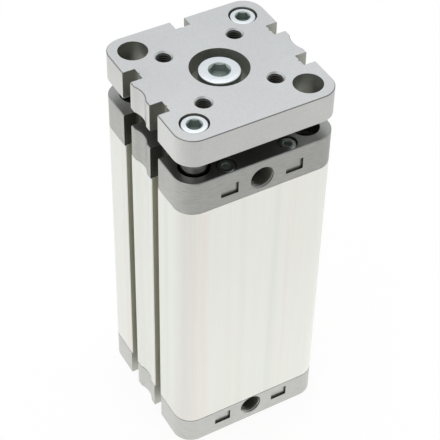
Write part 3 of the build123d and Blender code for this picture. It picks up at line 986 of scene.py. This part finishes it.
class CYLINDER_OT_bearings(bpy.types.Operator):
    """Model the wiper round the piston rod and the bushes of the guide rods"""

    bl_idname = "cylinder.bearings"
    bl_label = "Wiper and bushes"

    def execute(self, context):
        lip_gap, bush_gap, step = 0.05 * MM, 0.03 * MM, 0.4 * MM
        # From the wiper's outer edge to its shoulder and to the foot of its lip, and the lip's width under its
        # crown and at its crown
        shoulder, foot, neck, crown = 2.1 * MM, 2.7 * MM, 1.5 * MM, 1.1 * MM
        bottom, top, _, outer = round_box("rod_wiper")
        lip, cap_top = round_box("piston_rod")[3] + lip_gap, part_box("front_cap")[1].z
        points = [
            (lip, bottom), (outer - step, bottom), (outer, bottom + step), (outer, cap_top - 2 * step),
            (outer - step, cap_top - step), (outer - shoulder, cap_top - step / 2), (outer - foot, cap_top),
            (lip + neck, top - step / 2), (lip + crown, top), (lip + step, top), (lip, top - step),
            (lip + 2 * step, cap_top - step), (lip + 2 * step, bottom + 3 * step), (lip, bottom + 2 * step),
            (lip, bottom),
        ]
        wiper = turned("rod_wiper_lip", points, closed=True)
        hand_over(wiper, "wiper", STILL, "rod_wiper")
        inner = round_box("guide_rod_near")[3] + bush_gap
        for node in ("guide_bush_near", "guide_bush_far"):
            bottom, top, axis, outer = round_box(node)
            edge = (outer - inner) / 4
            points = [
                (inner, bottom + edge), (inner + edge, bottom), (outer - edge, bottom), (outer, bottom + edge),
                (outer, top - edge), (outer - edge, top), (inner + edge, top), (inner, top - edge),
                (inner, bottom + edge),
            ]
            bush = turned(node + "_sintered", points, axis, closed=True)
            hand_over(bush, "bush", STILL, node)
        return {"FINISHED"}


class CYLINDER_OT_inner_parts(bpy.types.Operator):
    """Finish the pieces that stay inside the tube"""

    bl_idname = "cylinder.inner_parts"
    bl_label = "Inner parts"

    def execute(self, context):
        slots = {part["node"]: part["material_slot"] for part in frame["record"]["subparts"]}
        for node, piece in frame["nodes"].items():
            if not piece.hide_render:
                dress(piece, slots[node])
        return {"FINISHED"}


class CYLINDER_OT_stage(bpy.types.Operator):
    """Lay the pale floor, hang the lamps and set the camera"""

    bl_idname = "cylinder.stage"
    bl_label = "Stage"

    def execute(self, context):
        lay_floor(context)
        light_world(context)
        hang_lamps(context)
        set_camera(context)
        context.scene.view_settings.view_transform = "Standard"
        return {"FINISHED"}


# Stage


def lay_floor(context):
    """Pale floor that shows nearly white, with the object's soft shadow left on it."""
    size, gap = 8, 0.00005
    # The floor's own glow: its share in what the camera and the mirrors see, its strength for the camera, and
    # the middle of the pool where it is strongest for the mirrors
    glow_share, glow_seen, pool = 0.88, 1.02, (-0.06, 0.06, cad_low.z)
    bpy.ops.mesh.primitive_plane_add(size=size, location=(0, 0, cad_low.z - gap))
    floor = latest("floor")
    material = bpy.data.materials.new("floor_pale")
    material.use_nodes = True
    tree = material.node_tree
    surface = tree.nodes["Principled BSDF"]
    surface.inputs["Base Color"].default_value = (*context.scene.cylinder_colours.floor, 1)
    surface.inputs["Roughness"].default_value = 0.9
    glow = tree.nodes.new("ShaderNodeEmission")
    path = tree.nodes.new("ShaderNodeLightPath")
    seen = maths(tree, "ADD", path.outputs["Is Camera Ray"], path.outputs["Is Glossy Ray"])
    place = tree.nodes.new("ShaderNodeTexCoord")
    away = tree.nodes.new("ShaderNodeVectorMath")
    away.operation = "DISTANCE"
    away.inputs[1].default_value = pool
    tree.links.new(place.outputs["Object"], away.inputs[0])
    # Painted light in reflections: what mirrors see of the floor glows stronger near the pool by the object and
    # fainter further off
    mirrored = smooth_range(tree, away.outputs["Value"], start=0.09, end=0.28, low=1.15, high=0.76)
    strength = blend(tree, "FLOAT", path.outputs["Is Camera Ray"], mirrored, glow_seen)
    tree.links.new(strength, glow.inputs["Strength"])
    mix = tree.nodes.new("ShaderNodeMixShader")
    tree.links.new(maths(tree, "MULTIPLY", seen, glow_share), mix.inputs[0])
    tree.links.new(surface.outputs[0], mix.inputs[1])
    tree.links.new(glow.outputs[0], mix.inputs[2])
    tree.links.new(mix.outputs[0], tree.nodes["Material Output"].inputs["Surface"])
    floor.data.materials.append(material)


def light_world(context):
    """White background; what shines on the object is bright above and behind it, and darker in front and level."""
    settings = context.scene.cylinder_stage
    world = bpy.data.worlds.new("soft_studio")
    context.scene.world = world
    world.use_nodes = True
    tree = world.node_tree
    background = tree.nodes["Background"]
    direction = tree.nodes.new("ShaderNodeTexCoord")
    apart = tree.nodes.new("ShaderNodeSeparateXYZ")
    tree.links.new(direction.outputs["Generated"], apart.inputs[0])
    lift = maths(tree, "MULTIPLY", apart.outputs["Z"], 0.3)
    backwards = maths(tree, "ADD", apart.outputs["Y"], lift)
    from_front = smooth_range(tree, backwards, start=-0.75, end=0.1, low=settings.front)
    from_level = smooth_range(tree, apart.outputs["Z"], start=0.02, end=0.4, low=settings.horizon)
    both = maths(tree, "MULTIPLY", from_front, from_level)
    dim = maths(tree, "MULTIPLY", both, settings.ambient)
    path = tree.nodes.new("ShaderNodeLightPath")
    seen = maths(tree, "ADD", path.outputs["Is Camera Ray"], path.outputs["Is Transmission Ray"])
    tree.links.new(blend(tree, "FLOAT", seen, dim, 1.0), background.inputs["Strength"])
    tint = blend(tree, "RGBA", seen, (*context.scene.cylinder_colours.sky, 1), (1, 1, 1, 1))
    tree.links.new(tint, background.inputs["Color"])


def hang_lamps(context):
    """Square soft lamps, aimed at the tube's middle."""
    settings = context.scene.cylinder_stage
    aim = Vector((0, 0, 0.09))
    for name, place, width, power in (
        ("softbox_overhead", (0.05, 0.25, 0.95), 0.8, settings.softbox),
        ("fill_left", (-0.75, -0.45, 0.55), 0.6, settings.fill),
        ("fill_right", (0.62, -0.82, 0.05), 0.09, settings.front_fill),
    ):
        light = bpy.data.lights.new(name, "AREA")
        light.shape = "SQUARE"
        light.size = width
        light.energy = power
        holder = bpy.data.objects.new(name, light)
        context.scene.collection.objects.link(holder)
        holder.location = place
        holder.rotation_euler = (Vector(place) - aim).to_track_quat("Z", "Y").to_euler()


def set_camera(context):
    """Camera at the photograph's angle, for a square picture."""
    settings = context.scene.cylinder_stage
    turn, rise, roll = (math.radians(value) for value in (settings.azimuth, settings.elevation, settings.roll))
    back = Vector((math.sin(turn) * math.cos(rise), -math.cos(turn) * math.cos(rise), math.sin(rise)))
    right = Vector((math.cos(turn), math.sin(turn), 0))
    up = back.cross(right)
    right, up = (
        math.cos(roll) * right + math.sin(roll) * up,
        math.cos(roll) * up - math.sin(roll) * right,
    )
    place = Vector((0, 0, settings.aim_height)) + back * settings.distance
    place += right * settings.aim_right + up * settings.aim_up
    data = bpy.data.cameras.new("camera")
    data.sensor_width = 36
    data.lens = data.sensor_width * settings.focal
    camera = bpy.data.objects.new("camera", data)
    context.scene.collection.objects.link(camera)
    camera.matrix_world = Matrix.Translation(place) @ Matrix((right, up, back)).transposed().to_4x4()
    context.scene.camera = camera


class CYLINDER_PT_finish(bpy.types.Panel):
    """Steps and settings of the finish"""

    bl_label = "Compact cylinder"
    bl_idname = "CYLINDER_PT_finish"
    bl_space_type = "VIEW_3D"
    bl_region_type = "UI"
    bl_category = "Cylinder"

    def draw(self, context):
        steps = self.layout.column(align=True)
        for operator in OPERATORS:
            steps.operator(operator.bl_idname)
        for name, kind in SETTINGS.items():
            box = self.layout.box().column()
            for key in kind.__annotations__:
                box.prop(getattr(context.scene, name), key)


OPERATORS = (
    CYLINDER_OT_tube,
    CYLINDER_OT_caps,
    CYLINDER_OT_plate,
    CYLINDER_OT_screws,
    CYLINDER_OT_rods,
    CYLINDER_OT_bearings,
    CYLINDER_OT_inner_parts,
    CYLINDER_OT_stage,
)
SETTINGS = {"cylinder_sizes": CylinderSizes, "cylinder_colours": CylinderColours, "cylinder_stage": StageSettings}
CLASSES = (*SETTINGS.values(), *OPERATORS, CYLINDER_PT_finish)


def register():
    for kind in CLASSES:
        bpy.utils.register_class(kind)
    for name, kind in SETTINGS.items():
        setattr(bpy.types.Scene, name, PointerProperty(type=kind))


def unregister():
    for name in SETTINGS:
        delattr(bpy.types.Scene, name)
    for kind in reversed(CLASSES):
        bpy.utils.unregister_class(kind)


def main():
    register()
    bpy.ops.cylinder.tube()
    bpy.ops.cylinder.caps()
    bpy.ops.cylinder.plate()
    bpy.ops.cylinder.screws()
    bpy.ops.cylinder.rods()
    bpy.ops.cylinder.bearings()
    bpy.ops.cylinder.inner_parts()
    bpy.ops.cylinder.stage()


if __name__ == "__main__":
    main()
